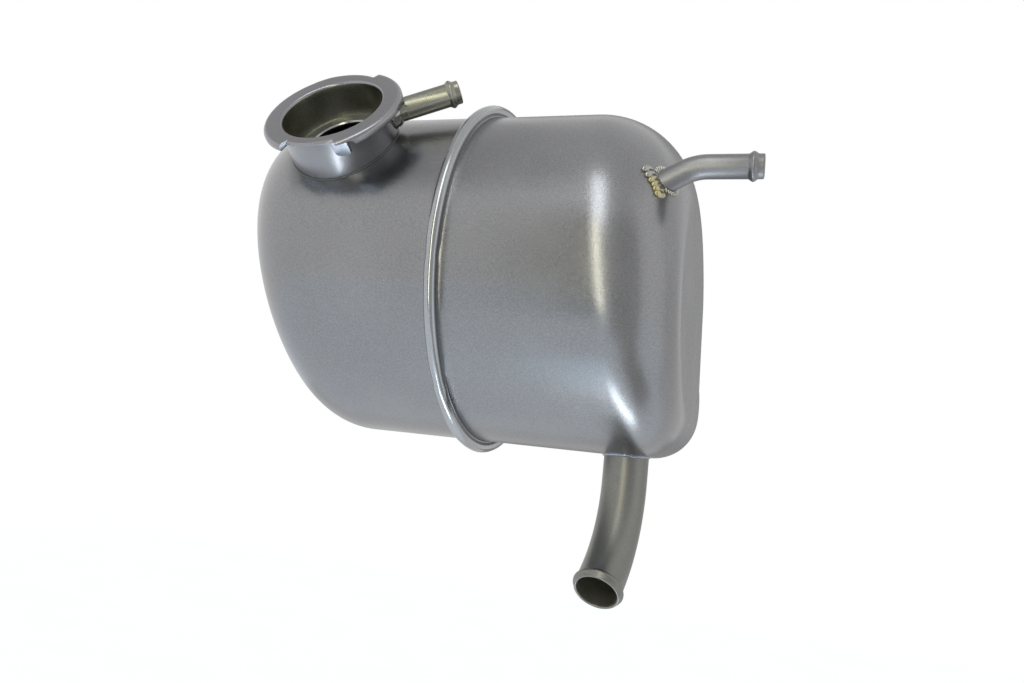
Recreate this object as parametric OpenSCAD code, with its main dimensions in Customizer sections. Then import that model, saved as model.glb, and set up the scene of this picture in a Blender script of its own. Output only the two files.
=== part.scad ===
// Coolant expansion tank: two deep drawn half shells joined by a rolled seam band,
// with a filler neck for a bayonet cap, an overflow spout, a vent pipe and an outlet pipe.
// The origin is on the tank's axis at the seam. +X points to the vent end, +Z is up
// and -Y is the side that the filler neck leans to.

/* [Tank shells] */
// Outside radius of the tank
body_r = 76; // [70:0.5:84]
// Radius of the squarer lower back corner of the tank's right end
corner_r = 34; // [26:1:60]
// Wall thickness of the shells
wall = 1.6; // [1:0.1:3]
// Length of the left shell from the seam, on the axis
left_len = 106; // [100:1:130]
// Lean of the left end away from upright, in degrees
left_rake = 19.5; // [10:0.5:24]
// Turn of the left end in plan, in degrees
left_skew = 10; // [0:0.5:12]
// Radius of the left shell's end fillet
left_fillet = 36; // [28:1:42]
// Length of the right shell from the seam, on the axis
right_len = 92; // [86:1:120]
// Lean of the right end away from upright, in degrees
right_rake = 1.5; // [0:0.5:6]
// Radius of the right shell's end fillet, halfway up
right_fillet = 32; // [26:1:36]
// How much the right fillet grows at the top and shrinks at the bottom
fillet_change = 11; // [0:1:14]

/* [Seam] */
// Height of the lip that stands out round the open edge of each shell
lip_h = 3; // [2:0.1:3.5]
// Thickness of each lip
lip_t = 1.2; // [0.8:0.1:1.5]
// Radius of the rolled band's rounded outside
band_r = 2.7; // [2.4:0.1:3.5]
// How far the band's round centre stands off the shells
band_lift = 2.8; // [2.6:0.1:3.5]

/* [Filler neck] */
// Place of the neck along the tank, from the seam
neck_x = -56.8; // [-62:0.1:-54]
// Place of the neck round the tank, from upright towards the front, in degrees
neck_seat = 51.5; // [40:0.5:60]
// How much further the neck leans to the front than its place round the tank, in degrees
neck_tip = 3; // [0:0.5:5]
// Height of the neck's rim above the tank
neck_h = 17.3; // [16.5:0.1:26]
// Radius of the bore that takes the cap
bore_r = 22; // [20:0.1:23]
// Wall thickness of the neck
neck_wall = 1.8; // [1.2:0.1:2.4]
// Depth from the rim down to the seat of the cap's seal
seat_depth = 16; // [15.7:0.1:17]
// Radius of the hole in the seat
seat_hole_r = 15.5; // [10:0.5:18]
// Width of the cap flange outside the neck's wall, over its lobes
flange_w = 6.7; // [5.5:0.1:9]
// Thickness of the cap flange
flange_t = 1.6; // [1.2:0.1:2.2]
// Depth of the two notches in the flange
notch_d = 3.2; // [2:0.1:3.5]
// Width of each notch in the flange, in degrees
notch_span = 48; // [30:1:60]
// Direction of the first notch, counted from the tank's long axis, in degrees
notch_turn = -88; // [-100:1:-60]
// Height of the cam edge that is turned down under the flange
cam_h = 3.4; // [2:0.1:4]
// How far the bent stop tabs reach below the rim
stop_h = 9; // [7:0.5:9]
// Width of each stop tab
stop_w = 7; // [4:0.5:8]

/* [Overflow spout] */
// Outside diameter of the spout
spout_d = 10; // [8:0.5:11]
// Wall thickness of the spout
spout_wall = 1; // [0.8:0.1:1.5]
// Depth of the spout's centre below the rim
spout_drop = 10.4; // [9.5:0.1:10.5]
// Direction of the spout round the neck, in degrees
spout_turn = 30.4; // [10:0.1:60]
// Distance from the neck's centre to the end of the spout
spout_reach = 54.7; // [50:0.1:80]

/* [Vent pipe] */
// Outside diameter of the vent pipe
vent_d = 9.6; // [8:0.1:12]
// Wall thickness of the vent pipe
vent_wall = 1; // [0.8:0.1:1.5]
// Direction of the vent pipe's root, counted from the back over the top, in degrees
vent_turn = 148; // [100:0.1:170]
// Place of the root on the end fillet, from 0 at the wall to 90 at the end face, in degrees
vent_round = 54.6; // [36:0.1:72]
// Angle at which the vent pipe climbs from the shell, in degrees
vent_climb = 29; // [10:1:40]
// Length of the climbing part outside the shell, up to the corner of the bend
vent_leg = 11.2; // [10.5:0.1:30]
// Bend radius of the vent pipe
vent_bend = 20; // [14:1:30]
// Length of the level part, from the corner of the bend
vent_len = 25.9; // [24:0.1:60]

/* [Outlet pipe] */
// Outside diameter of the outlet pipe
outlet_d = 19.6; // [16:0.1:24]
// Wall thickness of the outlet pipe
outlet_wall = 1.2; // [1:0.1:2]
// Place of the outlet along the tank, from the seam
outlet_x = 68.3; // [50:0.1:70]
// Length of the straight part under the tank
outlet_drop = 11; // [2:0.5:20]
// Bend radius of the outlet pipe
outlet_bend = 50; // [40:1:90]
// Angle that the outlet pipe turns through, in degrees
outlet_sweep = 49; // [10:1:80]
// Direction that the outlet bends to, counted from straight forward, in degrees
outlet_turn = 7.4; // [-30:0.1:30]
// Length of the straight end of the outlet pipe, up to its rim
outlet_end = 10; // [10:0.5:40]

/* [Beads and welds] */
// Height of the rolled hose beads above their pipes
bead_h = 1; // [0.6:0.1:1.5]
// Length of a plain pipe end past the bead
bead_end = 4; // [3.5:0.5:8]
// Height of the weld beads above the shells
weld = 1.6; // [1:0.1:2.5]
// Width of the weld round the neck
neck_weld_w = 1.2; // [0.8:0.1:3]
// Width of the weld round the vent pipe
vent_weld_w = 2.9; // [1:0.1:4]
// Width of the weld round the outlet pipe
outlet_weld_w = 1.6; // [1:0.1:4]
// Length of the weld collar on the spout
spout_weld_len = 3.5; // [2:0.1:5]
// How far a pipe reaches inside the shell
pipe_in = 3; // [2:0.5:5]
// Clearance between a pipe and the hole that it is welded into
fit_gap = 0.1; // [0.05:0.05:0.3]

/* [Hidden] */
$fn = 96;
LEFT = -1;
RIGHT = 1;
round_step = 5;      // degrees between the points round the shells
fillet_steps = 9;    // points along each end fillet
corner_steps = 9;    // steps round the squarer corner
neck_out_r = bore_r + neck_wall;
flange_r = neck_out_r + flange_w;
notch_r = flange_r - notch_d;
lip_in = wall / 2;   // how far each lip reaches into the shell's wall
lip_round = 1.2;     // rounding of the neck's bore where it meets the flange
neck_in = 6.5;       // how far the neck reaches inside the shell
flat_len = body_r - corner_r;
hole_reach = 10;     // how far the tools for holes and welds reach to each side of the skin
cam_inset = 0.2;     // how far the cam edges and tabs keep inside the flange's outer edges
cam_trim = 1;        // degrees by which a cam edge stops short of each notch
bend_slip = 0.02;
bend_over = 0.45;

// Outline of a shell's end: a circle, and on the right a squarer corner low down at the back.
// Each station is its direction, the centre and the radius of its arc, and its direction
// on the round seam.
function stations(side) = side == LEFT
    ? [for (a = [0 : round_step : 360 - round_step]) [a, [0, 0], body_r, a]]
    : concat(
        [for (a = [0 : round_step : 270]) [a, [0, 0], body_r, a]],
        [for (i = [0 : corner_steps]) [270 + 90 * i / corner_steps, [flat_len, -flat_len], corner_r,
            270 + 90 * (i + 1) / (corner_steps + 2)]]);

// End of a shell: length, slopes of its end face along Y and Z, fillet and its change
function end_of(side) = side == LEFT
    ? [left_len, -tan(left_skew), -tan(left_rake), left_fillet, 0]
    : [right_len, 0, -tan(right_rake), right_fillet, fillet_change];
function unit(v) = v / norm(v);
function fillet_at(side, a) = end_of(side)[3] + end_of(side)[4] * sin(a);

// Centre of the end fillet's arc at one station
function arc_centre(side, s) =
    let (e = end_of(side),
         r = fillet_at(side, s[0]),
         y = s[1].x + (s[2] - r) * cos(s[0]),
         z = s[1].y + (s[2] - r) * sin(s[0]))
    [side * (e[0] - r) + e[1] * y + e[2] * z, y, z];

// A point of the end fillet: t runs from 0 at the wall to 1 at the end face
function fillet_point(side, s, grow, t) =
    let (e = end_of(side),
         out = [0, cos(s[0]), sin(s[0])],
         face = unit([side, -side * e[1], -side * e[2]]),
         turn = acos(out * face))
    arc_centre(side, s) + (fillet_at(side, s[0]) + grow)
        * (out * sin((1 - t) * turn) + face * sin(t * turn)) / sin(turn);

function seam_point(s, x, grow) = [x, (body_r + grow) * cos(s[3]), (body_r + grow) * sin(s[3])];

// Solid half tank, with its skin moved out by grow, or in where grow is negative
module half_body(side, grow, x_start) {
    around = stations(side);
    n = len(around);
    rings = fillet_steps + 2;
    points = concat(
        [for (s = around) seam_point(s, x_start, grow)],
        [for (k = [0 : fillet_steps]) for (s = around) fillet_point(side, s, grow, k / fillet_steps)],
        [[x_start, 0, 0], [side * (end_of(side)[0] + grow), 0, 0]]);
    walls = [for (k = [0 : rings - 2]) for (i = [0 : n - 1])
        let (j = (i + 1) % n, a = k * n + i, b = k * n + j, c = b + n, d = a + n)
        each [[a, b, c], [a, c, d]]];
    caps = [for (i = [0 : n - 1])
        let (j = (i + 1) % n, last = (rings - 1) * n)
        each [[rings * n, j, i], [rings * n + 1, last + i, last + j]]];
    faces = concat(walls, caps);
    polyhedron(points, side == RIGHT ? [for (f = faces) [f[2], f[1], f[0]]] : faces, convexity = 4);
}

// Turns a flat profile round the seam: x is outwards from the shells, y along the tank
module round_the_seam() {
    rotate([90, 0, 90]) rotate_extrude() translate([body_r, 0]) children();
}

// Frame of the neck: z is its axis, zero where it meets the tank
module at_neck() {
    translate([neck_x, 0, 0]) rotate([neck_seat, 0, 0]) translate([0, 0, body_r])
        rotate([neck_tip, 0, 0]) children();
}
// Frame of the spout: z is its axis, starting at the neck's centre line
module at_spout() {
    at_neck() translate([0, 0, neck_h - spout_drop]) rotate([0, 0, spout_turn])
        rotate([0, 90, 0]) children();
}
// Root of the vent pipe on the shell's skin, and the corner of its bend
vent_root = fillet_point(RIGHT, [vent_turn, [0, 0], body_r], 0, vent_round / 90);
vent_corner = vent_root + vent_leg * [cos(vent_climb), 0, sin(vent_climb)];

// Frame of the vent pipe's climbing part: z points away from the tank, zero at the skin
module at_vent() {
    translate(vent_root) rotate([0, 90 - vent_climb, 0]) children();
}
// Frame of the outlet: z points down out of the tank, x to the side that the pipe bends to
module at_outlet() {
    translate([outlet_x, 0, -body_r]) rotate([0, 0, -90 - outlet_turn]) rotate([180, 0, 0]) children();
}

module hollow(d, wall_t, len) {
    difference() {
        cylinder(d = d, h = len);
        translate([0, 0, -1]) cylinder(d = d - 2 * wall_t, h = len + 2);
    }
}
// Bend in a pipe: starts along z at the origin and turns towards x. It is a hair thinner
// than the straight parts and reaches a little way into the wall of each.
module pipe_bend(d, wall_t, bend_r, sweep) {
    over = bend_over / bend_r * 180 / PI;
    translate([bend_r, 0, 0]) rotate([90, 0, 180]) rotate([0, 0, -over])
        rotate_extrude(angle = sweep + 2 * over) translate([bend_r, 0]) difference() {
            circle(d = d - 2 * bend_slip);
            circle(d = d - 2 * wall_t + 2 * bend_slip);
        }
}
// Straight pipe end with a rolled hose bead, tail is the plain length past the bead
module beaded_end(d, wall_t, len, tail) {
    bore = d / 2 - wall_t;
    rotate_extrude() difference() {
        union() {
            translate([bore, 0]) square([wall_t, len]);
            translate([(d - bead_h) / 2, len - tail]) circle(r = 1.5 * bead_h, $fn = 48);
        }
        translate([0, -1]) square([bore, len + 2]);
    }
}

// Rod from one side of the skin to the other, for a hole or the inside of a weld
module through(r, over = 0) {
    translate([0, 0, -hole_reach - over]) cylinder(r = r, h = 2 * (hole_reach + over));
}

module shell_left() {
    color([0.62, 0.62, 0.63]) difference() {
        union() {
            half_body(LEFT, 0, 0);
            round_the_seam() translate([-lip_in, -lip_t]) square([lip_in + lip_h, lip_t]);
        }
        half_body(LEFT, -wall, 1);
        at_neck() through(neck_out_r + fit_gap);
    }
}

module shell_right() {
    color([0.62, 0.62, 0.63]) difference() {
        union() {
            half_body(RIGHT, 0, 0);
            round_the_seam() translate([-lip_in, 0]) square([lip_in + lip_h, lip_t]);
        }
        half_body(RIGHT, -wall, -1);
        at_vent() through(vent_d / 2 + fit_gap);
        at_outlet() through(outlet_d / 2 + fit_gap);
    }
}

module seam_band() {
    color([0.75, 0.75, 0.76]) round_the_seam() difference() {
        translate([band_lift, 0]) circle(r = band_r, $fn = 48);
        translate([-2 * band_r, -2 * band_r]) square([2 * band_r, 4 * band_r]);
        translate([-band_r, -lip_t - fit_gap]) square([band_r + lip_h + fit_gap, 2 * (lip_t + fit_gap)]);
    }
}

// Flange edge beyond a radius, over one notch
module notch_cut(turn) {
    rotate([0, 0, turn - notch_span / 2]) rotate_extrude(angle = notch_span)
        translate([notch_r, neck_h - 2 * cam_h]) square([2 * notch_d, 3 * cam_h]);
}
// Cam edge under one lobe: a turned down rim whose lower edge rises along the lobe
module cam_edge(turn) {
    lobe = 180 - notch_span - 2 * cam_trim;
    lean = atan(0.55 * cam_h / flange_r);
    rotate([0, 0, turn]) difference() {
        rotate([0, 0, -lobe / 2]) rotate_extrude(angle = lobe)
            translate([flange_r - flange_t - cam_inset, neck_h - cam_h])
            square([flange_t, cam_h - flange_t / 2]);
        translate([0, 0, neck_h - cam_h]) rotate([lean, 0, 0])
            translate([-2 * flange_r, -2 * flange_r, -2 * cam_h])
            cube([4 * flange_r, 4 * flange_r, 2 * cam_h]);
    }
}
// Stop tab bent down from the flange where a cam starts
module stop_tab(turn) {
    rotate([0, 0, turn]) intersection() {
        difference() {
            translate([0, 0, neck_h - stop_h]) cylinder(r = notch_r - cam_inset, h = stop_h - flange_t / 2);
            translate([0, 0, neck_h - 2 * stop_h])
                cylinder(r = notch_r - cam_inset - flange_t, h = 3 * stop_h);
        }
        translate([0, -stop_w / 2, 0]) cube([2 * flange_r, stop_w, neck_h]);
    }
}

function arc_points(centre, r, from, to, n) =
    [for (i = [0 : n]) centre + r * [cos(from + (to - from) * i / n), sin(from + (to - from) * i / n)]];

// Half section of the neck: wall, flange with its rounded edges, and the seat
module neck_profile() {
    edge = flange_t / 2;
    seat_z = neck_h - seat_depth;
    polygon(concat(
        [[neck_out_r, -neck_in], [neck_out_r, neck_h - flange_t]],
        arc_points([flange_r - edge, neck_h - edge], edge, -90, 90, 8),
        arc_points([bore_r + lip_round, neck_h - lip_round], lip_round, 90, 180, 6),
        [[bore_r, seat_z], [seat_hole_r, seat_z], [seat_hole_r, seat_z - flange_t],
         [bore_r, seat_z - flange_t], [bore_r, -neck_in]]));
}

module filler_neck() {
    color([0.72, 0.72, 0.73]) at_neck() difference() {
        union() {
            difference() {
                rotate_extrude() neck_profile();
                notch_cut(notch_turn);
                notch_cut(notch_turn + 180);
            }
            cam_edge(notch_turn + 90);
            cam_edge(notch_turn + 270);
            stop_tab(notch_turn + notch_span / 2);
            stop_tab(notch_turn + 180 + notch_span / 2);
        }
        translate([0, 0, neck_h - spout_drop]) rotate([0, 0, spout_turn]) rotate([0, 90, 0])
            translate([0, 0, bore_r / 2]) cylinder(r = spout_d / 2 + fit_gap, h = bore_r);
    }
}

module overflow_spout() {
    color([0.7, 0.7, 0.68]) at_spout() translate([0, 0, bore_r + neck_wall / 2])
        beaded_end(spout_d, spout_wall, spout_reach - bore_r - neck_wall / 2, bead_end);
}

module vent_pipe() {
    tangent = vent_bend * tan(vent_climb / 2);
    inside = pipe_in + vent_d / 4;
    color([0.68, 0.68, 0.69]) {
        at_vent() translate([0, 0, -inside]) hollow(vent_d, vent_wall, inside + vent_leg - tangent);
        at_vent() translate([0, 0, vent_leg - tangent])
            pipe_bend(vent_d, vent_wall, vent_bend, vent_climb);
        translate(vent_corner) rotate([0, 90, 0]) translate([0, 0, tangent])
            beaded_end(vent_d, vent_wall, vent_len - tangent, bead_end);
    }
}

module outlet_pipe() {
    color([0.64, 0.64, 0.65]) at_outlet() {
        translate([0, 0, -pipe_in]) hollow(outlet_d, outlet_wall, pipe_in + outlet_drop);
        translate([0, 0, outlet_drop]) pipe_bend(outlet_d, outlet_wall, outlet_bend, outlet_sweep);
        translate([outlet_bend * (1 - cos(outlet_sweep)), 0, outlet_drop + outlet_bend * sin(outlet_sweep)])
            rotate([0, outlet_sweep, 0])
            beaded_end(outlet_d, outlet_wall, outlet_end, 2 * bead_h);
    }
}

// Weld metal lying on a shell round the hole for a pipe of radius r, w is its width
module weld_ring(r, w) {
    difference() {
        through(r + w);
        through(r, 1);
    }
}
// What is left of a weld ring above the skin of one shell
module above_skin(side) {
    difference() {
        intersection() {
            half_body(side, weld, 0);
            children();
        }
        half_body(side, 0, -side);
    }
}

module neck_weld() {
    color([0.6, 0.6, 0.6]) above_skin(LEFT) at_neck() weld_ring(neck_out_r, neck_weld_w);
}

module vent_weld() {
    color([0.7, 0.68, 0.6]) above_skin(RIGHT) at_vent() weld_ring(vent_d / 2, vent_weld_w);
}

module outlet_weld() {
    color([0.6, 0.6, 0.6]) above_skin(RIGHT) at_outlet() weld_ring(outlet_d / 2, outlet_weld_w);
}

module spout_weld() {
    color([0.66, 0.66, 0.62]) difference() {
        at_spout() translate([0, 0, neck_out_r - weld])
            cylinder(r1 = spout_d / 2 + weld, r2 = (spout_d + weld) / 2, h = spout_weld_len);
        at_spout() cylinder(r = spout_d / 2, h = spout_reach);
        at_neck() cylinder(r = neck_out_r, h = neck_h);
    }
}

shell_left();
shell_right();
seam_band();
filler_neck();
overflow_spout();
vent_pipe();
outlet_pipe();
neck_weld();
spout_weld();
vent_weld();
outlet_weld();
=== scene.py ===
# %% [markdown]
# # A welded metal coolant expansion tank
#
# The tank is a pair of deep drawn half shells, joined by a rolled band round the seam.
# A filler neck with a bayonet flange leans forward on the left shell, a small spout leaves
# the neck, a bent vent pipe leaves the right end and a curved outlet pipe hangs below.
# Every visible piece is built here round the solids of the frame, in metres, with +X along
# the tank, +Z up and the camera in front, at -Y.

import math

import bmesh
import bpy
from mathutils import Matrix, Vector
from mathutils.bvhtree import BVHTree


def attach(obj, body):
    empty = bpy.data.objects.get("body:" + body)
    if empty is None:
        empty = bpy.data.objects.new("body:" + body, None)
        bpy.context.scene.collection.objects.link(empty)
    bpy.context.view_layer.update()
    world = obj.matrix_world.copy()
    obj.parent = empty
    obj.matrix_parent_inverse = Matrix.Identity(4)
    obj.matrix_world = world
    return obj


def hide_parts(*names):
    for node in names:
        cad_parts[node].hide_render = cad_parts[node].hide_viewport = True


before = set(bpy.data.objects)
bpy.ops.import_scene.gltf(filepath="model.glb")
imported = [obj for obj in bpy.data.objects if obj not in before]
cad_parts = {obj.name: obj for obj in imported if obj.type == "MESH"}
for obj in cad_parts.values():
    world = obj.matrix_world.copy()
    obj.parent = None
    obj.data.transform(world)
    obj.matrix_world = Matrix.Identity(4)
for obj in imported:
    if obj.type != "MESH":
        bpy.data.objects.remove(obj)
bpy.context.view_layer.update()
print("solids in the frame:", sorted(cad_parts))

# %% [markdown]
# ## Sizes
#
# The sizes are those of the solids, so that each dressed piece lies in the place of its own
# solid. Lengths are written in millimetres and turned into metres with MM. The solids have
# facets and the pieces here are smoother, so the left end and the outlet are a little shorter.

# %% Sizes of the tank
MM = 0.001
BODY_R = 76 * MM
CORNER_R = 34 * MM
FLAT = BODY_R - CORNER_R
WALL = 1.6 * MM
LIP = 3 * MM
FACET_GAP = 0.06 * MM
LEFT, RIGHT = -1, 1
ENDS = {
    LEFT: {
        "length": 106 * MM - FACET_GAP, "rake": 19.5, "skew": 10, "fillet": 36 * MM, "change": 0,
    },
    RIGHT: {
        "length": 92 * MM, "rake": 1.5, "skew": 0, "fillet": 32 * MM, "change": 11 * MM,
    },
}
BAND_R = 2.7 * MM
BAND_LIFT = 2.8 * MM

NECK_X = -56.8 * MM
NECK_SEAT = math.radians(51.5)
NECK_TIP = math.radians(3)
NECK_H = 17.3 * MM
BORE_R = 22 * MM
NECK_R = 23.8 * MM
FLANGE_R = 30.5 * MM
NOTCH_R = 27.3 * MM
FLANGE_T = 1.6 * MM
NOTCH_TURN = -88
NOTCH_SPAN = 48
CAM_H = 3.4 * MM
STOP_H = 9 * MM
STOP_W = 7 * MM
SEAT_DEPTH = 16 * MM
SEAT_HOLE_R = 15.5 * MM

SPOUT_R = 5 * MM
SPOUT_DROP = 10.4 * MM
SPOUT_TURN = math.radians(30.4)
SPOUT_REACH = 54.7 * MM

VENT_R = 4.8 * MM
VENT_TURN = 148
VENT_ROUND = 54.6 / 90
VENT_CLIMB = math.radians(29)
VENT_LEG = 11.2 * MM
VENT_BEND = 20 * MM
VENT_LEN = 25.9 * MM

OUTLET_R = 9.8 * MM
OUTLET_X = 68.3 * MM
OUTLET_DROP = 11 * MM
OUTLET_BEND = 50 * MM
OUTLET_SWEEP = math.radians(49)
OUTLET_TURN = math.radians(7.4)
OUTLET_END = 10 * MM - 0.1 * MM
OUTLET_WALL = 1.2 * MM
BEAD_H = 1 * MM
BEAD_HALF = 1.9 * MM
HOSE_BEAD_END = 4 * MM
OUTLET_BEAD_END = 2 * MM
PIPE_WALL = 1 * MM
print("tank", 2 * BODY_R, "m across")

# %% [markdown]
# ## Rings
#
# All the pieces are round or nearly so. Each one starts as a circle primitive, which is then
# extruded again and again, and after every extrude the new ring of vertices is set in its
# place. A vertex remembers its number in the ring, so a ring may have any outline: a plain
# circle for a pipe, a circle with one squarer corner for the tank, or the notched edge of
# the flange.


# %% Helpers for rings
def only(obj):
    """Selects one object and makes it the active one."""
    bpy.ops.object.select_all(action="DESELECT")
    obj.select_set(True)
    bpy.context.view_layer.objects.active = obj


def ring_piece(name, rings, cap=None):
    """Extrudes a circle through a list of rings, each a list of points."""
    bpy.ops.object.select_all(action="DESELECT")
    bpy.ops.mesh.primitive_circle_add(vertices=len(rings[0]), radius=BODY_R)
    obj = bpy.context.object
    obj.name = obj.data.name = name
    bpy.ops.object.mode_set(mode="EDIT")
    mesh = bmesh.from_edit_mesh(obj.data)
    number = mesh.verts.layers.int.new("number")
    mesh.verts.ensure_lookup_table()
    for i, vert in enumerate(mesh.verts):
        vert[number] = i
        vert.co = rings[0][i]
    bmesh.update_edit_mesh(obj.data)
    bpy.ops.mesh.select_all(action="SELECT")
    for ring in rings[1:]:
        bpy.ops.mesh.extrude_region_move()
        mesh = bmesh.from_edit_mesh(obj.data)
        number = mesh.verts.layers.int["number"]
        for vert in mesh.verts:
            if vert.select:
                vert.co = ring[vert[number]]
        bmesh.update_edit_mesh(obj.data)
    if cap:
        bpy.ops.mesh.edge_face_add()
        bpy.ops.mesh.inset(thickness=cap)
    bpy.ops.mesh.select_all(action="SELECT")
    bpy.ops.mesh.normals_make_consistent(inside=False)
    bpy.ops.object.mode_set(mode="OBJECT")
    obj.data.attributes.remove(obj.data.attributes["number"])
    return obj


def close_ends(obj):
    """Joins the first ring of a piece to its last, for pipes with an inside and an outside."""
    only(obj)
    bpy.ops.object.mode_set(mode="EDIT")
    bpy.ops.mesh.select_mode(type="EDGE")
    bpy.ops.mesh.select_all(action="DESELECT")
    bpy.ops.mesh.select_non_manifold()
    bpy.ops.mesh.bridge_edge_loops()
    bpy.ops.mesh.select_all(action="SELECT")
    bpy.ops.mesh.normals_make_consistent(inside=False)
    bpy.ops.mesh.select_mode(type="VERT")
    bpy.ops.object.mode_set(mode="OBJECT")


def smooth(obj, angle=35):
    """Smooth shading, apart from edges sharper than the angle in degrees."""
    only(obj)
    bpy.ops.object.shade_smooth_by_angle(angle=math.radians(angle))


def apply_modifier(obj, kind, **values):
    """Adds one modifier, sets its values and applies it."""
    only(obj)
    mod = obj.modifiers.new(kind.lower(), kind)
    for key, value in values.items():
        setattr(mod, key, value)
    bpy.ops.object.modifier_apply(modifier=mod.name)


def mark_bore(obj, reach):
    """Gives the second material to the faces that look at the piece itself, close by."""
    tree = BVHTree.FromObject(obj, bpy.context.evaluated_depsgraph_get())
    for face in obj.data.polygons:
        start = face.center + face.normal * 0.05 * MM
        if tree.ray_cast(start, face.normal, reach)[0] is not None:
            face.material_index = 1


# %% [markdown]
# ## The two shells
#
# Each shell is drawn from one sheet: a straight wall with a lip at the seam, a large fillet
# and a flat end. The left end leans back and turns a little, and the right one is nearly
# upright, with a fillet that grows towards the top. The outline of the tank is a circle with
# one squarer corner, low down at the back of the right end. Solidify gives the sheet its
# thickness, and its second material goes to the inside.


# %% Outline and end fillets
def outline(side):
    """Stations round a shell: direction, centre and radius of its arc, direction on the seam."""
    if side == LEFT:
        return [(2.5 * i, 0, 0, BODY_R, 2.5 * i) for i in range(144)]
    circle = [(2.5 * i, 0, 0, BODY_R, 2.5 * i) for i in range(109)]
    corner = [(270 + 5 * i, FLAT, -FLAT, CORNER_R, 274.5 + 4.5 * i) for i in range(19)]
    return circle + corner


def fillet_point(side, station, t):
    """A point of the end fillet, t is 0 at the wall and 1 at the end face."""
    end = ENDS[side]
    angle, cy, cz, radius, _ = station
    c, s = math.cos(math.radians(angle)), math.sin(math.radians(angle))
    r = end["fillet"] + end["change"] * s
    slope_y = -math.tan(math.radians(end["skew"]))
    slope_z = -math.tan(math.radians(end["rake"]))
    y, z = cy + (radius - r) * c, cz + (radius - r) * s
    centre = Vector((side * (end["length"] - r) + slope_y * y + slope_z * z, y, z))
    out = Vector((0, c, s))
    face = Vector((side, -side * slope_y, -side * slope_z)).normalized()
    turn = math.acos(out.dot(face))
    along = out * math.sin((1 - t) * turn) + face * math.sin(t * turn)
    return centre + r * along / math.sin(turn)


def seam_point(station, x, grow=0.0):
    """A point on the round seam, grow is its height above the skin."""
    angle = math.radians(station[4])
    return Vector((x, (BODY_R + grow) * math.cos(angle), (BODY_R + grow) * math.sin(angle)))


STATIONS = {side: outline(side) for side in ENDS}
FILLET_STEPS = 24
WALL_STEPS = (0.05, 0.1, 0.2, 0.35, 0.5, 0.65, 0.8, 0.92)
print({side: len(stations) for side, stations in STATIONS.items()}, "stations round the shells")


# %% Build a shell
def shell_rings(side):
    """The lip over the other shell, the wall from the round seam, and the end fillet."""
    stations = STATIONS[side]
    lip = [(WALL, LIP), (WALL, 1.2 * MM), (WALL + 0.3 * MM, 0.35 * MM)]
    rings = [[seam_point(s, side * x, grow) for s in stations] for x, grow in lip]
    starts = [fillet_point(side, s, 0) for s in stations]
    for k in WALL_STEPS:
        rings.append([seam_point(s, 0).lerp(p, k) for s, p in zip(stations, starts)])
    for k in range(FILLET_STEPS + 1):
        rings.append([fillet_point(side, s, k / FILLET_STEPS) for s in stations])
    return rings


def cut_hole(obj, place, radius, reach=10 * MM):
    """Cuts a round hole through the sheet. The cutter's z is the direction of the hole."""
    bpy.ops.object.select_all(action="DESELECT")
    bpy.ops.mesh.primitive_cylinder_add(vertices=96, radius=radius, depth=2 * reach)
    cutter = bpy.context.object
    cutter.data.transform(place)
    apply_modifier(obj, "BOOLEAN", operation="DIFFERENCE", object=cutter, solver="EXACT")
    bpy.data.objects.remove(cutter)


NECK_PLACE = (
    Matrix.Translation((NECK_X, 0, 0))
    @ Matrix.Rotation(NECK_SEAT, 4, "X")
    @ Matrix.Translation((0, 0, BODY_R))
    @ Matrix.Rotation(NECK_TIP, 4, "X")
)
VENT_ROOT = fillet_point(RIGHT, (VENT_TURN, 0, 0, BODY_R, VENT_TURN), VENT_ROUND)
VENT_PLACE = Matrix.Translation(VENT_ROOT) @ Matrix.Rotation(math.pi / 2 - VENT_CLIMB, 4, "Y")
OUTLET_PLACE = (
    Matrix.Translation((OUTLET_X, 0, -BODY_R))
    @ Matrix.Rotation(-math.pi / 2 - OUTLET_TURN, 4, "Z")
    @ Matrix.Rotation(math.pi, 4, "X")
)

shells, skins = {}, {}
for side, name in ((LEFT, "left_shell"), (RIGHT, "right_shell")):
    shells[side] = ring_piece(name, shell_rings(side), cap=2 * MM)
    skins[side] = BVHTree.FromObject(shells[side], bpy.context.evaluated_depsgraph_get())
    for _ in range(2):  # one slot for the outside and one for the inside
        shells[side].data.materials.append(None)
    apply_modifier(shells[side], "SOLIDIFY", thickness=WALL, offset=-1, material_offset=1)
cut_hole(shells[LEFT], NECK_PLACE, NECK_R - 1 * MM)
cut_hole(shells[RIGHT], VENT_PLACE, VENT_R - 0.5 * MM)
cut_hole(shells[RIGHT], OUTLET_PLACE, OUTLET_R - 0.6 * MM)
for side, node in ((LEFT, "shell_left"), (RIGHT, "shell_right")):
    smooth(shells[side])
    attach(shells[side], "root")
    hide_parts(node)
    print(shells[side].name, len(shells[side].data.polygons), "faces")

# %% [markdown]
# ## The seam band
#
# The two lips are covered by a band that is rolled to a round outside, all round the tank.
# It follows the round seam, a little way off the skin. A closed curve with a round bevel
# gives that in one step, and it is then turned into a mesh. The real band has joints and
# isn't quite even, so its radius changes a little along the way.


# %% Build the band
def closed_tube(name, points, radii, bevel):
    """A round tube along a closed line of points, each with its own share of the bevel."""
    curve = bpy.data.curves.new(name, "CURVE")
    curve.dimensions = "3D"
    curve.bevel_depth = bevel
    curve.bevel_resolution = 8
    spline = curve.splines.new("POLY")
    spline.points.add(len(points) - 1)
    for point, place, radius in zip(spline.points, points, radii):
        point.co = (*place, 1)
        point.radius = radius
    spline.use_cyclic_u = True
    obj = bpy.data.objects.new(name, curve)
    bpy.context.scene.collection.objects.link(obj)
    only(obj)
    bpy.ops.object.convert(target="MESH")
    obj = bpy.context.object
    obj.name = obj.data.name = name
    return obj


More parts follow.
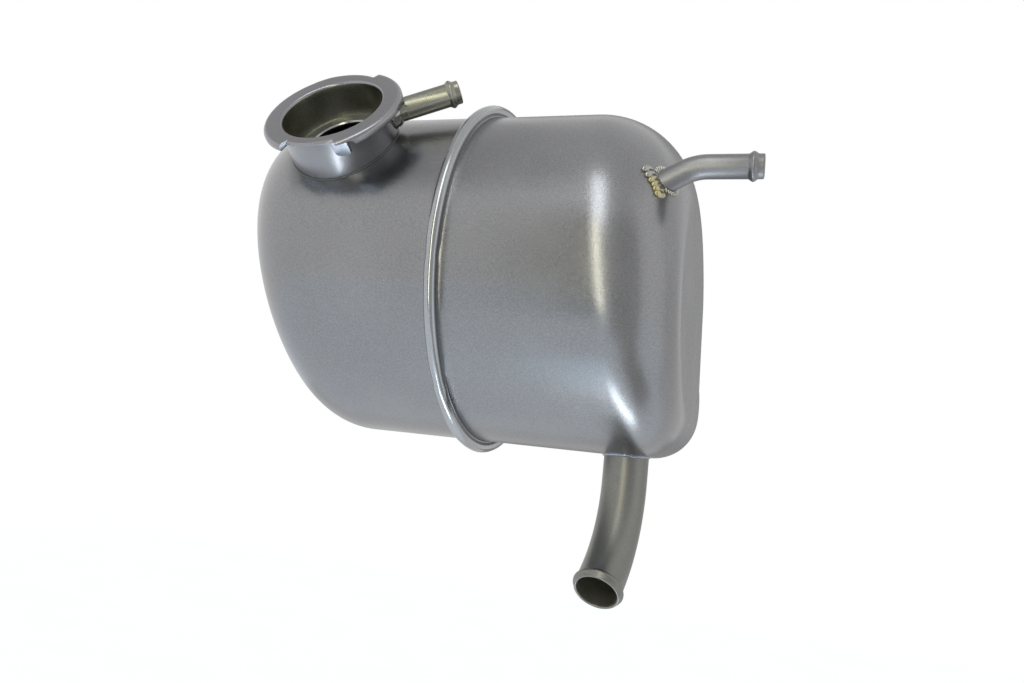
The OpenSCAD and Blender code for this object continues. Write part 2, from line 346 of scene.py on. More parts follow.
BAND_JOINTS = (184.0, 221.5)
JOINT_SPAN = 1.6
JOINT_DEPTH = 0.16
UNEVEN = 0.02


def band_radius(degrees):
    """Nearly even, with a dip at each joint of the rolled band."""
    turn = math.radians(degrees)
    uneven = UNEVEN * (1 + math.sin(7 * turn) * math.cos(3 * turn))
    away = [(degrees - joint) / JOINT_SPAN for joint in BAND_JOINTS]
    dips = sum(JOINT_DEPTH * math.exp(-(a ** 2)) for a in away)
    return 1 - uneven - dips


band_points = [seam_point(s, 0, BAND_LIFT) for s in STATIONS[LEFT]]
band_radii = [band_radius(s[0]) for s in STATIONS[LEFT]]
band = closed_tube("rolled_band", band_points, band_radii, BAND_R)
smooth(band, 60)
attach(band, "root")
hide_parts("seam_band")
print(band.name, len(band.data.polygons), "faces")

# %% [markdown]
# ## The filler neck
#
# The neck is a pressed and turned piece: a straight barrel, a flat flange with rounded edges,
# a seat for the cap's seal deep in the bore, and two lobes whose edges are turned down as
# cams. One set of rings makes it all: the radius and the height of the flange's edge depend
# on the direction round the neck, which gives the notches and the sloping cams. Each cam
# starts a little way into its lobe, past the stop tab.


# %% Flange edge as a function of the direction
CAM_START = -0.79
CAM_RAMP = 0.03
CAM_SLOPE = 0.5 * MM


def lobe_part(degrees):
    """-1 at the start of a lobe, 1 at its end, None inside a notch."""
    turn = (degrees - NOTCH_TURN + 180) % 180
    turn = turn - 180 if turn > 90 else turn
    half_notch = NOTCH_SPAN / 2
    if abs(turn) <= half_notch:
        return None
    from_start = turn - half_notch if turn > 0 else turn + 180 - half_notch
    return 2 * from_start / (180 - NOTCH_SPAN) - 1


def edge_radius(degrees):
    """The front notch is even, the back one grows deeper along its length."""
    if lobe_part(degrees) is not None:
        return FLANGE_R
    if degrees > 180:
        return NOTCH_R
    first = NOTCH_TURN + 180 + NOTCH_SPAN / 2
    return FLANGE_R - (FLANGE_R - NOTCH_R) * (first - degrees) / NOTCH_SPAN


def edge_drop(degrees):
    """How far the edge of the flange is turned down, measured from the rim."""
    part = lobe_part(degrees)
    if part is None or part < CAM_START:
        return FLANGE_T
    ramp = min(1, (part - CAM_START) / CAM_RAMP)
    deepest = CAM_H + 0.4 * MM
    return FLANGE_T + ramp * (deepest - CAM_SLOPE * (1 + part) - FLANGE_T)


def neck_rings(count=240):
    """Half section of the neck, from the inside of the tank over the rim to the outside."""
    degrees = [360 * i / count for i in range(count)]
    top = NECK_H
    seat = top - SEAT_DEPTH
    soft = 0.7 * MM

    def ring(radius, height):
        points = []
        for d in degrees:
            r = radius(d) if callable(radius) else radius
            h = height(d) if callable(height) else height
            a = math.radians(d)
            points.append(NECK_PLACE @ Vector((r * math.cos(a), r * math.sin(a), h)))
        return points

    def edge(inset):
        return lambda d: edge_radius(d) - inset

    def low(lift):
        return lambda d: top - edge_drop(d) + lift

    def bent(part):
        return lambda d: top - part * min(1.5 * MM, 0.6 * edge_drop(d))

    section = [
        (BORE_R, -6.5 * MM), (BORE_R, seat - 1.8 * MM), (BORE_R - 0.2 * MM, seat - FLANGE_T),
        (SEAT_HOLE_R + soft, seat - FLANGE_T), (SEAT_HOLE_R, seat - FLANGE_T + 0.5 * MM),
        (SEAT_HOLE_R, seat - 0.2 * MM), (SEAT_HOLE_R + 0.5 * MM, seat + 0.35 * MM),
        (SEAT_HOLE_R + 1.2 * MM, seat + 0.4 * MM), (SEAT_HOLE_R + 2 * MM, seat),
        (BORE_R - 0.9 * MM, seat), (BORE_R - 0.25 * MM, seat + 0.25 * MM),
        (BORE_R, seat + 0.9 * MM),
        (BORE_R, top - 3 * MM), (BORE_R, top - 1.3 * MM), (BORE_R + 0.12 * MM, top - 0.7 * MM),
        (BORE_R + 0.45 * MM, top - 0.25 * MM), (BORE_R + 1 * MM, top), (BORE_R + 1.6 * MM, top),
        (edge(2.2 * MM), top), (edge(1.5 * MM), bent(0.03)), (edge(1 * MM), bent(0.13)),
        (edge(0.55 * MM), bent(0.33)), (edge(0.2 * MM), bent(0.62)), (edge(0), bent(1)),
        (edge(0), low(0.2 * MM)), (edge(0.15 * MM), low(0.05 * MM)), (edge(0.5 * MM), low(0)),
        (edge(1.1 * MM), low(0)), (edge(1.5 * MM), low(0.15 * MM)),
        (edge(1.7 * MM), top - FLANGE_T), (NECK_R + 1.2 * MM, top - FLANGE_T),
        (NECK_R + 0.3 * MM, top - FLANGE_T - 0.3 * MM), (NECK_R, top - FLANGE_T - 1.2 * MM),
        (NECK_R, 6 * MM), (NECK_R, 0), (NECK_R, -6.5 * MM),
    ]
    return [ring(r, h) for r, h in section]


neck = ring_piece("bayonet_neck", neck_rings())
close_ends(neck)
print(neck.name, len(neck.data.polygons), "faces")

# %% [markdown]
# Where each cam starts, a small tab is bent down from the flange, and the cap's ear stops
# against it. A tab is a cube that is scaled, bevelled and set on the neck. It could
# be drawn as one more outline, but a bevelled cube shows its rounded corners most simply.


# %% Stop tabs
TAB_SHIFT = 4
TAB_TURN = math.radians(-22)
TAB_LEAN = math.radians(7)
TAB_CORNER = 1.8 * MM
TAB_TOP = 0.6 * MM


def stop_tab(degrees):
    """A tab with rounded lower corners, at a direction round the neck."""
    bpy.ops.object.select_all(action="DESELECT")
    bpy.ops.mesh.primitive_cube_add(size=1)
    tab = bpy.context.object
    height = STOP_H - TAB_TOP
    tab.data.transform(Matrix.Diagonal((FLANGE_T, STOP_W, height, 1)))
    bpy.ops.object.mode_set(mode="EDIT")
    bpy.ops.mesh.select_all(action="DESELECT")
    mesh = bmesh.from_edit_mesh(tab.data)
    for edge in mesh.edges:
        a, b = edge.verts
        edge.select = abs(a.co.x - b.co.x) > 0 and a.co.z < 0 and b.co.z < 0
    bmesh.update_edit_mesh(tab.data)
    bpy.ops.mesh.bevel(offset=TAB_CORNER, segments=6, affect="EDGES")
    bpy.ops.object.mode_set(mode="OBJECT")
    apply_modifier(tab, "BEVEL", width=0.3 * MM, segments=3, limit_method="ANGLE")
    radius = NOTCH_R - FLANGE_T / 2
    tab.data.transform(
        NECK_PLACE
        @ Matrix.Rotation(math.radians(degrees + TAB_SHIFT), 4, "Z")
        @ Matrix.Translation((radius, 0, NECK_H - TAB_TOP))
        @ Matrix.Rotation(TAB_TURN, 4, "Z")
        @ Matrix.Rotation(TAB_LEAN, 4, "Y")
        @ Matrix.Translation((0, 0, -height / 2))
    )
    return tab


tabs = [stop_tab(NOTCH_TURN + NOTCH_SPAN / 2), stop_tab(NOTCH_TURN + 180 + NOTCH_SPAN / 2)]
only(neck)
for tab in tabs:
    tab.select_set(True)
bpy.ops.object.join()
print(len(tabs), "tabs,", len(neck.data.polygons), "faces with the neck")

# %% [markdown]
# The bore is duller than the outside, and lighter than the outside as painted light in the
# bore. The stop tabs and the cut end of the front cam get a light bluish metal as a painted
# highlight, and the hidden underside of the flange gets the same as painted light, so that its
# reflection in the shell is less dark. The lip of the seat is bright. The pieces could be kept
# apart for this, but the neck is one pressed piece, so each face gets the number of its metal
# from its place in the neck's own frame.

# %% Metals of the neck
CUT_EDGE = -111.3
CUT_SPAN = 1.8
ON_BORE, PAINTED_LIGHT_FACES, ON_LIP = 1, 2, 3
into_neck = NECK_PLACE.inverted()
# Painted highlight on the stop tabs and the cut end of the front cam, and painted light on the
# flange's underside: these faces get the light bluish metal.
for face in neck.data.polygons:
    x, y, z = into_neck @ face.center
    away, turn = math.hypot(x, y), math.degrees(math.atan2(y, x))
    on_lip = SEAT_HOLE_R < away < SEAT_HOLE_R + 1.3 * MM and z > NECK_H - SEAT_DEPTH
    cut_edge = away > NOTCH_R + 0.1 * MM and abs(turn - CUT_EDGE) < CUT_SPAN
    under = away > NECK_R + 0.3 * MM and (into_neck.to_3x3() @ face.normal).z < -0.5
    if on_lip:
        face.material_index = ON_LIP
    elif cut_edge or under:
        face.material_index = PAINTED_LIGHT_FACES
    elif away < BORE_R + 0.2 * MM:
        face.material_index = ON_BORE
    elif z < NECK_H - CAM_H - 1 * MM and away > NECK_R + 0.3 * MM:
        face.material_index = PAINTED_LIGHT_FACES
smooth(neck, 40)
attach(neck, "root")
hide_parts("filler_neck")
# The count is of the faces with the painted highlight and painted light.
print(sum(face.material_index == PAINTED_LIGHT_FACES for face in neck.data.polygons), "burnished faces")

# %% [markdown]
# ## Pipes
#
# Drawn tube is bent on a former, and its end is rolled to a bead that holds the hose. Each
# pipe is a list of rings along its centre line: out along the outside, round the rim, and
# back along the bore. The faces of the bore are those that look at the pipe itself.


# %% Pipes with a rolled bead
def pipe_rings(place, path, wall, count=64):
    """Rings round a flat path, given as (x, z, turn, radius): outside first, then the bore."""
    sideways = Vector((0, 1, 0))

    def ring(x, z, turn, radius):
        across = Vector((math.cos(turn), 0, -math.sin(turn)))
        points = []
        for i in range(count):
            a = 2 * math.pi * i / count
            local = Vector((x, 0, z)) + radius * (math.cos(a) * across + math.sin(a) * sideways)
            points.append(place @ local)
        return points

    outside = [ring(*p) for p in path]
    x, z, turn, radius = path[-1]
    ahead = Vector((math.sin(turn), 0, math.cos(turn)))
    soft = wall / 2
    quarter = [k * math.pi / 2 for k in (0.3, 0.7, 1.0)]
    rim = [(soft * math.sin(a), soft * (1 - math.cos(a))) for a in quarter]
    rim += [(soft * math.cos(a), soft * (1 + math.sin(a))) for a in quarter]
    for step, inset in rim:
        outside.append(ring(x + ahead.x * step, z + ahead.z * step, turn, radius - inset))
    narrow = path[0][3]
    inside = [ring(px, pz, t, min(r, narrow) - wall) for px, pz, t, r in reversed(path[:-1])]
    return outside + inside


def bent_path(start, straight, bend, sweep, end, radius, bead_from_end):
    """Centre line of a pipe: a straight, a bend and a straight end with a bead."""
    path = [(0, start, 0, radius), (0, (start + straight) / 2, 0, radius)]
    steps = max(4, round(math.degrees(sweep) / 3))
    for i in range(steps + 1):
        a = sweep * i / steps
        path.append((bend * (1 - math.cos(a)), straight + bend * math.sin(a), a, radius))
    x, z = path[-1][0], path[-1][1]
    long_end = end - bead_from_end - BEAD_HALF > 2 * MM
    profile = [(1 * MM, radius)] if long_end else []
    for i in range(13):
        u = -1 + i / 6
        swell = (0.5 + 0.5 * math.cos(math.pi * u)) ** 0.8
        profile.append((end - bead_from_end + u * BEAD_HALF, radius + BEAD_H * swell))
    if bead_from_end > BEAD_HALF + 0.6 * MM:
        profile.append((end - 0.5 * MM, radius))
    for d, r in profile:
        path.append((x + d * math.sin(sweep), z + d * math.cos(sweep), sweep, r))
    return path


def finish_pipe(obj, node, radius):
    """Closes the far end, marks the bore and hides the solid that the pipe replaces."""
    close_ends(obj)
    mark_bore(obj, 2 * radius)
    smooth(obj, 50)
    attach(obj, "root")
    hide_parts(node)
    print(obj.name, len(obj.data.polygons), "faces")


print("bead", BEAD_H, "m high")

# %% [markdown]
# The vent climbs from the right end and then runs level, and the outlet drops from the tank
# and sweeps towards the front. Both start inside the shell, so that no gap shows at the weld.

# %% Vent and outlet pipes
VENT_START = -5.5 * MM
OUTLET_START = -3 * MM
tangent = VENT_BEND * math.tan(VENT_CLIMB / 2)
vent = ring_piece("vent_tube", pipe_rings(
    VENT_PLACE,
    bent_path(
        VENT_START, VENT_LEG - tangent, VENT_BEND, VENT_CLIMB, VENT_LEN - tangent, VENT_R,
        HOSE_BEAD_END,
    ),
    PIPE_WALL,
))
finish_pipe(vent, "vent_pipe", VENT_R)
outlet = ring_piece("outlet_tube", pipe_rings(
    OUTLET_PLACE,
    bent_path(
        OUTLET_START, OUTLET_DROP, OUTLET_BEND, OUTLET_SWEEP, OUTLET_END, OUTLET_R,
        OUTLET_BEAD_END,
    ),
    OUTLET_WALL, count=96,
))
finish_pipe(outlet, "outlet_pipe", OUTLET_R)

# %% [markdown]
# The spout is a short, straight tube. It is made by the same function, with next to no bend,
# and it starts in the wall of the neck.

# %% Spout
SPOUT_PLACE = (
    NECK_PLACE
    @ Matrix.Translation((0, 0, NECK_H - SPOUT_DROP))
    @ Matrix.Rotation(SPOUT_TURN, 4, "Z")
    @ Matrix.Rotation(math.pi / 2, 4, "Y")
)
SPOUT_ROOT = 30 * MM
NO_BEND = 1e-6
spout = ring_piece("spout_tube", pipe_rings(
    SPOUT_PLACE,
    bent_path(
        BORE_R + 0.9 * MM, SPOUT_ROOT, VENT_BEND, NO_BEND, SPOUT_REACH - SPOUT_ROOT, SPOUT_R,
        HOSE_BEAD_END,
    ),
    PIPE_WALL,
))
finish_pipe(spout, "overflow_spout", SPOUT_R)

# %% [markdown]
# ## Welds
#
# The neck and the outlet sit in a thin, smooth weld. The vent pipe has a heavier one in
# front, laid as a row of overlapping ripples, and a light one round the back. These welds
# follow the line where their pipe meets the shell, which is found by looking down along the
# pipe onto the skin of the shell. The spout has a turned collar, built as rings.


# %% Where a pipe meets a shell
LOOK_FROM = 12 * MM


def weld_spot(place, skin, degrees, radius):
    """The point of the skin that a weld spot lies on, in polar coordinates round a pipe."""
    a = math.radians(degrees)
    start = place @ Vector((radius * math.cos(a), radius * math.sin(a), LOOK_FROM))
    return skin.ray_cast(start, -(place.to_3x3() @ Vector((0, 0, 1))))[0]


def smooth_weld(name, place, radius, skin, bevel, node, count=96):
    """A thin, slightly uneven bead round a pipe."""
    points = [weld_spot(place, skin, 360 * i / count, radius) for i in range(count)]
    ripple = [1 + 0.05 * math.sin(24 * 2 * math.pi * i / count) for i in range(count)]
    weld = closed_tube(name, points, ripple, bevel)
    smooth(weld, 60)
    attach(weld, "root")
    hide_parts(node)
    return weld


neck_bead = smooth_weld(
    "neck_bead", NECK_PLACE, NECK_R + 0.1 * MM, skins[LEFT], 0.5 * MM, "neck_weld")
outlet_bead = smooth_weld(
    "outlet_bead", OUTLET_PLACE, OUTLET_R + 0.1 * MM, skins[RIGHT], 0.8 * MM, "outlet_weld")
print(neck_bead.name, outlet_bead.name)

# %% [markdown]
# The vent's weld is a row of coins, flat ellipsoids that lean over each other, because that
# is how a weld laid drop by drop looks. A bump on a smooth ring would be less work, but its
# outline would stay smooth. The lower heavy coins have a golden heat colour.


# %% Rippled weld of the vent pipe
COIN_TILT = math.radians(-24)


def rippled_weld(name, place, skin, spots):
    """A row of overlapping coins of metal, each given as (degrees, radius, size)."""
    line = [weld_spot(place, skin, degrees, radius) for degrees, radius, _ in spots]
    axis = (place.to_3x3() @ Vector((0, 0, 1))).normalized()
    coins = []
    for i, (point, (_, _, size)) in enumerate(zip(line, spots)):
        bpy.ops.object.select_all(action="DESELECT")
        bpy.ops.mesh.primitive_uv_sphere_add(segments=24, ring_count=12, radius=1)
        coin = bpy.context.object
        before, after = line[max(i - 1, 0)], line[min(i + 1, len(line) - 1)]
        ahead = (after - before).normalized()
        out = (skin.find_nearest(point)[1] + 0.3 * axis).normalized()
        side_way = ahead.cross(out).normalized()
        out = side_way.cross(ahead)
        turn = Matrix((side_way, ahead, out)).transposed().to_4x4()
        tilt = Matrix.Rotation(COIN_TILT, 4, "X")
        coin.data.transform(
            Matrix.Translation(point) @ turn @ tilt
            @ Matrix.Diagonal((size, 0.5 * size, 0.42 * size, 1)))
        coins.append(coin)
    only(coins[0])
    for coin in coins:
        coin.select_set(True)
    bpy.ops.object.join()
    bpy.context.object.name = bpy.context.object.data.name = name
    return bpy.context.object


HEAVY_ROW = ((-122, 9.3), (-106, 8.4), (-90, 8.0), (-74, 8.0), (-61, 8.9), (-51, 10.3))
HEAT_FROM, HEAT_TO, HEAT_AWAY = -95, -30, 6.6 * MM
heavy = [(degrees, radius * MM, 3.3 * MM) for degrees, radius in HEAVY_ROW]
light = [(-40 + 14 * i, VENT_R + 0.7 * MM, 1.5 * MM) for i in range(20)]
vent_bead = rippled_weld("vent_ripples", VENT_PLACE, skins[RIGHT], heavy)
round_back = rippled_weld("vent_ripples_back", VENT_PLACE, skins[RIGHT], light)
only(vent_bead)
round_back.select_set(True)
bpy.ops.object.join()
smooth(vent_bead, 60)
into_vent = VENT_PLACE.inverted()
for face in vent_bead.data.polygons:
    x, y, _ = into_vent @ face.center
    if math.hypot(x, y) > HEAT_AWAY and HEAT_FROM < math.degrees(math.atan2(y, x)) < HEAT_TO:
        face.material_index = 1
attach(vent_bead, "root")
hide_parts("vent_weld")
print(vent_bead.name, len(vent_bead.data.polygons), "faces")

# %% [markdown]
# The spout's weld is a collar between the neck's wall and the spout. Its section is a list of
# radii and distances from the neck's axis, in millimetres.

# %% Collar of the spout
COLLAR = (
    (4.6, 22.6), (7.0, 22.9), (7.1, 23.9), (6.6, 24.6),
    (6.5, 25.6), (6.1, 26.5), (5.4, 27.3), (4.6, 27.6),
)
COLLAR_COUNT = 64
collar_rings = []
for r, z in COLLAR:
    collar_rings.append([
        SPOUT_PLACE @ Vector((r * MM * math.cos(a), r * MM * math.sin(a), z * MM))
        for a in (2 * math.pi * i / COLLAR_COUNT for i in range(COLLAR_COUNT))
    ])
collar = ring_piece("spout_collar", collar_rings)
smooth(collar, 50)
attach(collar, "root")
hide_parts("spout_weld")
print(collar.name, len(collar.data.polygons), "faces")

# %% [markdown]
# ## Metal
#
# All of it is one kind of metal in different finishes: the shells are blasted to a fine
# satin, the neck and the band are smoother, and the welds are bright, apart from the one round
# the neck, which is dark as painted shade in the crease between the neck and the shell. The
# insides are lighter than the outsides as painted light, and the neck's tabs carry a painted
# highlight. One node group makes the fine grain and the soft clouds that such a surface has,
# and each material uses it with its own values.


# %% Grain group
GRAIN_SCALE = 1500.0
BUMP_DISTANCE = 0.2 * MM


def link(tree, a, out_name, b, in_name):
    """Joins an output of node a to an input of node b."""
    tree.links.new(a.outputs[out_name], b.inputs[in_name])


def grain_group():
    """Clouds and grain mixed to a colour, with a roughness and a height for the bump."""
    group = bpy.data.node_groups.new("metal_grain", "ShaderNodeTree")
    for name, kind, value in (
        ("Light colour", "NodeSocketColor", (0.3, 0.3, 0.3, 1)),
        ("Dark colour", "NodeSocketColor", (0.25, 0.25, 0.25, 1)),
        ("Cloud scale", "NodeSocketFloat", 30.0),
        ("Grain scale", "NodeSocketFloat", GRAIN_SCALE),
        ("Roughness low", "NodeSocketFloat", 0.3),
        ("Roughness high", "NodeSocketFloat", 0.4),
    ):
        socket = group.interface.new_socket(name, in_out="INPUT", socket_type=kind)
        socket.default_value = value
    for name, kind in (
        ("Color", "NodeSocketColor"), ("Roughness", "NodeSocketFloat"),
        ("Height", "NodeSocketFloat"),
    ):
        group.interface.new_socket(name, in_out="OUTPUT", socket_type=kind)
    nodes = group.nodes
    entry, leave = nodes.new("NodeGroupInput"), nodes.new("NodeGroupOutput")
    place = nodes.new("ShaderNodeTexCoord")
    cloud, grain = nodes.new("ShaderNodeTexNoise"), nodes.new("ShaderNodeTexNoise")
    cloud.inputs["Detail"].default_value = 4
    grain.inputs["Detail"].default_value = 2
    mix = nodes.new("ShaderNodeMix")
    mix.data_type = "RGBA"
    rough = nodes.new("ShaderNodeMapRange")
    link(group, place, "Object", cloud, "Vector")
    link(group, place, "Object", grain, "Vector")
    link(group, entry, "Cloud scale", cloud, "Scale")
    link(group, entry, "Grain scale", grain, "Scale")
    fine = nodes.new("ShaderNodeMapRange")
    fine.inputs["From Min"].default_value = 0.35
    fine.inputs["From Max"].default_value = 0.65
    half, both = nodes.new("ShaderNodeMath"), nodes.new("ShaderNodeMath")
    half.operation, both.operation = "MULTIPLY", "MULTIPLY_ADD"
    half.inputs[1].default_value = both.inputs[1].default_value = 0.5
    link(group, grain, "Fac", fine, "Value")
    link(group, cloud, "Fac", half, 0)
    link(group, fine, "Result", both, 0)
    link(group, half, "Value", both, 2)
    link(group, both, "Value", mix, "Factor")
    group.links.new(entry.outputs["Dark colour"], mix.inputs[6])
    group.links.new(entry.outputs["Light colour"], mix.inputs[7])
    group.links.new(mix.outputs[2], leave.inputs["Color"])
    link(group, cloud, "Fac", rough, "Value")
    rough.inputs["From Min"].default_value = 0.3
    rough.inputs["From Max"].default_value = 0.7
    link(group, entry, "Roughness low", rough, "To Min")
    link(group, entry, "Roughness high", rough, "To Max")
    link(group, rough, "Result", leave, "Roughness")
    link(group, grain, "Fac", leave, "Height")
    return group


GRAIN = grain_group()
print(GRAIN.name, len(GRAIN.nodes), "nodes")

# %% [markdown]
# A metal has a light and a dark colour, a low and a high roughness, the strength of its grain
# and the scale of its clouds. One function makes them all, so that they stay one family. The
# first metal of a piece is its outside, and the next ones are for the faces numbered above.


# %% Materials
def metal(name, light, dark, rough, bump, cloud=30.0):
    """A metal with a light and a dark colour, and a low and a high roughness."""
    mat = bpy.data.materials.new(name)
    mat.use_nodes = True
    tree = mat.node_tree
    shader = tree.nodes["Principled BSDF"]
    shader.inputs["Metallic"].default_value = 1.0
    group = tree.nodes.new("ShaderNodeGroup")
    group.node_tree = GRAIN
    group.inputs["Light colour"].default_value = (*light, 1)
    group.inputs["Dark colour"].default_value = (*dark, 1)
    group.inputs["Cloud scale"].default_value = cloud
    group.inputs["Grain scale"].default_value = GRAIN_SCALE
    group.inputs["Roughness low"].default_value = rough[0]
    group.inputs["Roughness high"].default_value = rough[1]
    link(tree, group, "Color", shader, "Base Color")
    link(tree, group, "Roughness", shader, "Roughness")
    lift = tree.nodes.new("ShaderNodeBump")
    lift.inputs["Strength"].default_value = bump
    lift.inputs["Distance"].default_value = BUMP_DISTANCE
    link(tree, group, "Height", lift, "Height")
    link(tree, lift, "Normal", shader, "Normal")
    return mat


SATIN = metal(
    "satin_sheet", (0.318, 0.318, 0.328), (0.216, 0.218, 0.222), (0.24, 0.3), bump=0.08)
# Painted light: the inside of the shells and the bores of the pipes are lighter than the
# outside, so that they don't render dark.
INSIDE_PAINTED_LIGHT = metal("raw_inside_painted_light", (0.5, 0.49, 0.42), (0.36, 0.35, 0.3), (0.4, 0.5), bump=0.05)
BRIGHT = metal("rolled_bright", (0.42, 0.43, 0.44), (0.33, 0.34, 0.35), (0.14, 0.22), bump=0.03)
OUTLET_TUBE = metal(
    "outlet_tube", (0.25, 0.25, 0.235), (0.19, 0.19, 0.175), (0.36, 0.44), bump=0.02)
PRESSED = metal("pressed_neck", (0.33, 0.33, 0.345), (0.27, 0.27, 0.28), (0.24, 0.32), bump=0.03)
# Painted light: the neck's bore is lighter than its outside, so that it doesn't render dark.
BORE_PAINTED_LIGHT = metal("neck_bore_painted_light", (0.4, 0.4, 0.34), (0.22, 0.22, 0.19), (0.28, 0.4), bump=0.05, cloud=70)
# Painted highlight: a light bluish metal on the stop tabs and the cam's cut end, also used as
# painted light on the flange's underside.
PAINTED_HIGHLIGHT_METAL = metal(
    "painted_highlight_tab", (0.7, 0.76, 0.84), (0.5, 0.56, 0.66), (0.2, 0.3), bump=0.1, cloud=300)
TUBE = metal("drawn_tube", (0.28, 0.28, 0.285), (0.22, 0.22, 0.225), (0.34, 0.42), bump=0.02)
SPOUT_TUBE = metal("spout_tube", (0.34, 0.335, 0.28), (0.24, 0.24, 0.2), (0.26, 0.34), bump=0.02)
WELD = metal(
    "weld_bright", (0.5, 0.49, 0.46), (0.32, 0.31, 0.28), (0.12, 0.24), bump=0.05, cloud=200)
GOLD_WELD = metal(
    "weld_heated", (0.62, 0.56, 0.36), (0.34, 0.3, 0.16), (0.12, 0.24), bump=0.05, cloud=200)
PIPE_WELD = metal(
    "weld_blue", (0.36, 0.38, 0.44), (0.24, 0.25, 0.3), (0.2, 0.3), bump=0.05, cloud=200)
# Painted shade: the neck's weld is dark to draw the shadow line in the crease between the neck
# and the shell.
NECK_WELD_PAINTED_SHADE = metal(
    "weld_painted_shade", (0.16, 0.16, 0.15), (0.1, 0.1, 0.1), (0.35, 0.45), bump=0.05, cloud=200)
for part, finishes in (
    (shells[LEFT], (SATIN, INSIDE_PAINTED_LIGHT)), (shells[RIGHT], (SATIN, INSIDE_PAINTED_LIGHT)), (band, (BRIGHT,)),
    (neck, (PRESSED, BORE_PAINTED_LIGHT, PAINTED_HIGHLIGHT_METAL, BRIGHT)), (vent, (TUBE, INSIDE_PAINTED_LIGHT)),
    (outlet, (OUTLET_TUBE, INSIDE_PAINTED_LIGHT)), (spout, (SPOUT_TUBE, INSIDE_PAINTED_LIGHT)),
    (neck_bead, (NECK_WELD_PAINTED_SHADE,)), (outlet_bead, (PIPE_WELD,)),
    (vent_bead, (WELD, GOLD_WELD)), (collar, (WELD,)),
):
    for i, finish in enumerate(finishes):
        if i < len(part.data.materials):
            part.data.materials[i] = finish
        else:
            part.data.materials.append(finish)
print(len(bpy.data.materials), "materials")

# %% [markdown]
# ## Studio
#
# The tank hangs in a plain white studio. A metal shows what is round it, so the white of the
# world is also what it mirrors. The world is a little darker as the light all round.

# %% World
world = bpy.data.worlds.new("studio")
bpy.context.scene.world = world
world.use_nodes = True
tree = world.node_tree
tree.nodes.clear()
out = tree.nodes.new("ShaderNodeOutputWorld")
seen, ambient = tree.nodes.new("ShaderNodeBackground"), tree.nodes.new("ShaderNodeBackground")
seen.inputs["Color"].default_value = (1, 1, 1, 1)
ambient.inputs["Color"].default_value = (1, 1, 1, 1)
ambient.inputs["Strength"].default_value = 0.8
path = tree.nodes.new("ShaderNodeLightPath")
any_ray = tree.nodes.new("ShaderNodeMath")
any_ray.operation = "MAXIMUM"
all_rays = tree.nodes.new("ShaderNodeMath")
all_rays.operation = "MAXIMUM"
mix = tree.nodes.new("ShaderNodeMixShader")
link(tree, path, "Is Camera Ray", any_ray, 0)
link(tree, path, "Is Glossy Ray", any_ray, 1)
link(tree, any_ray, "Value", all_rays, 0)
link(tree, path, "Is Transmission Ray", all_rays, 1)
link(tree, all_rays, "Value", mix, "Fac")
link(tree, ambient, "Background", mix, 1)
link(tree, seen, "Background", mix, 2)
link(tree, mix, "Shader", out, "Surface")
print("world:", world.name)

# %% [markdown]
# The floor is far below, plain and pale. It glows a little, cold in tone, where the camera or
# a mirror sees it, so that it stays white and still keeps the shadow.

# %% Floor
FLOOR_Z = -1.3
FLOOR_GLOW_SHARE = 0.6
bpy.ops.mesh.primitive_plane_add(size=12, location=(0, 0, FLOOR_Z))
floor = bpy.context.object
floor.name = "studio_floor"
white = bpy.data.materials.new("floor_white")
white.use_nodes = True
tree = white.node_tree
shader = tree.nodes["Principled BSDF"]
shader.inputs["Base Color"].default_value = (0.9, 0.9, 0.9, 1)
shader.inputs["Roughness"].default_value = 0.9
fine = tree.nodes.new("ShaderNodeTexNoise")
fine.inputs["Scale"].default_value = 40
tint = tree.nodes.new("ShaderNodeMapRange")
tint.inputs["To Min"].default_value = 1.32
tint.inputs["To Max"].default_value = 1.38
link(tree, fine, "Fac", tint, "Value")
glow = tree.nodes.new("ShaderNodeEmission")
glow.inputs["Color"].default_value = (0.86, 0.94, 1.02, 1)
link(tree, tint, "Result", glow, "Strength")
path = tree.nodes.new("ShaderNodeLightPath")
mix = tree.nodes.new("ShaderNodeMixShader")
either = tree.nodes.new("ShaderNodeMath")
either.operation = "MAXIMUM"
blend = tree.nodes.new("ShaderNodeMath")
blend.operation = "MULTIPLY"
blend.inputs[1].default_value = FLOOR_GLOW_SHARE
link(tree, path, "Is Camera Ray", either, 0)
link(tree, path, "Is Glossy Ray", either, 1)
link(tree, either, "Value", blend, 0)
link(tree, blend, "Value", mix, "Fac")
link(tree, shader, "BSDF", mix, 1)
link(tree, glow, "Emission", mix, 2)
tree.links.new(mix.outputs[0], tree.nodes["Material Output"].inputs["Surface"])
floor.data.materials.append(white)
print("floor at", FLOOR_Z, "m")

# %% [markdown]
# Four strip lamps draw the highlights along the fillets and the band, and grey cards that
# only mirrors see give the shades between them. A picture of a room would do the same, but
# each lamp and card can be moved on its own.


# %% Lamps and cards
UPRIGHT = Vector((0, 0, 1))
ALONG_Y = Vector((0, 1, 0))
ALONG_FILLET = Vector((0.5, 0.87, 0))


def toward(azimuth, elevation, distance):
    """A place seen from the tank: azimuth from +X towards +Y, in degrees."""
    a, e = math.radians(azimuth), math.radians(elevation)
    return Vector((math.cos(a) * math.cos(e), math.sin(a) * math.cos(e), math.sin(e))) * distance


def facing_tank(place, upright):
    """Turn for a lamp or a card at a place, so that it faces the tank."""
    back = place.normalized()
    across = upright.cross(back).normalized()
    return Matrix((across, back.cross(across), back)).transposed().to_4x4()


